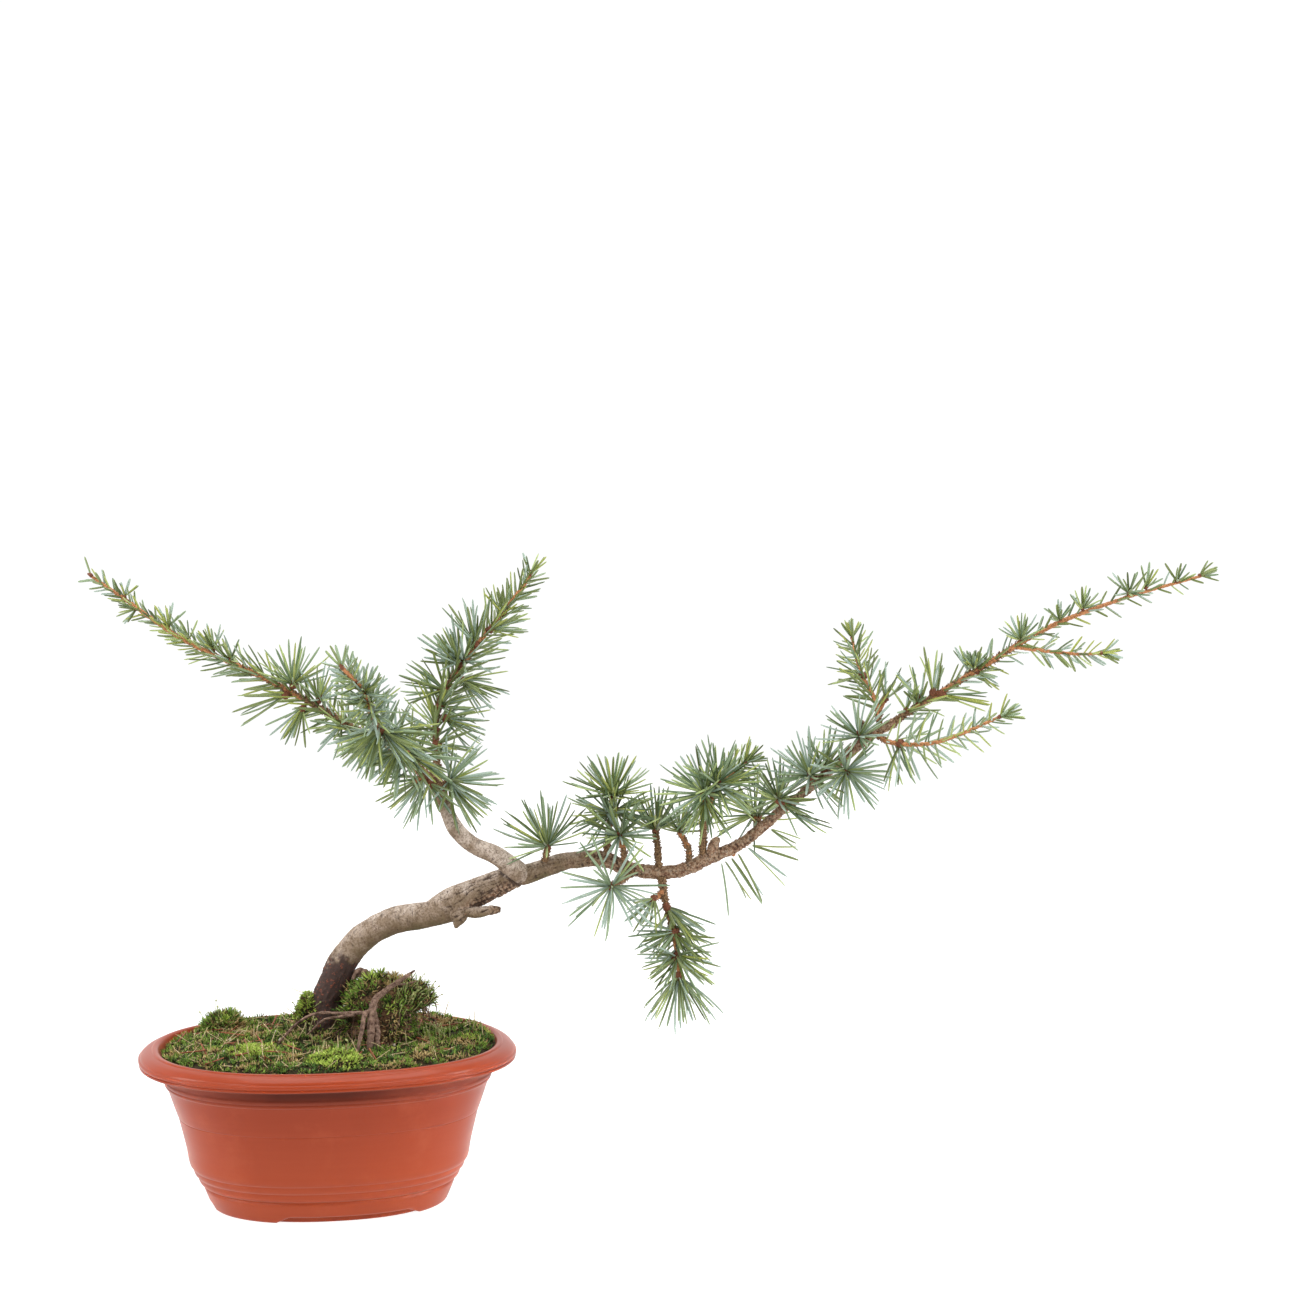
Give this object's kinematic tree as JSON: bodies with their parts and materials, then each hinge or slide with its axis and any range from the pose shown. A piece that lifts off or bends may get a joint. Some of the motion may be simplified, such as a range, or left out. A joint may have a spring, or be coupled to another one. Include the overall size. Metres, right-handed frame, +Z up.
{
  "type": "potted blue atlas cedar bonsai",
  "caption": "Young cedar bonsai with a leaning trunk, two long boughs and short blue-green needles, in an oval terracotta-coloured pot of mossy soil.",
  "frame": {"origin": "middle of the flat underside of the pot", "axes": "+Z up; +X along the tree's long spread, to the right of its front; +Y away from its front"},
  "size_m": [0.6009, 0.1637, 0.3418],
  "materials": {
    "pot_plastic": "satin moulded terracotta-coloured plastic",
    "potting_soil": "damp crumbly potting soil",
    "moss": "short green moss over fibrous earth",
    "dead_root": "weathered root wood",
    "bark": "rough pinkish-grey bark, dark red-brown at the foot",
    "needles": "stiff glaucous blue-green needles on orange-brown shoots"
  },
  "bodies": {
    "root": {"trunk": "bark", "bough_right": "bark", "bough_left": "bark", "pot": "pot_plastic", "soil": "potting_soil", "root_mound": "moss", "moss": "moss", "old_root_long": "dead_root", "old_root_low": "dead_root", "old_root_stump": "dead_root", "left_leader": "needles", "left_front_shoot": "needles", "left_upright_shoot": "needles", "left_collar_tuft": "needles", "spur_tuft_1": "needles", "spur_tuft_2": "needles", "spur_tuft_3": "needles", "spur_tuft_4": "needles", "spur_tuft_5": "needles", "spur_tuft_6": "needles", "spur_tuft_7": "needles", "spur_tuft_8": "needles", "front_spur_tuft": "needles", "drooping_shoot": "needles", "under_tuft": "needles", "spur_tuft_9": "needles", "spur_tuft_10": "needles", "spur_tuft_11": "needles", "right_upright_shoot": "needles", "lower_shoot": "needles", "leader_shoot": "needles", "leader_side_shoot": "needles"}
  },
  "joints": []
}
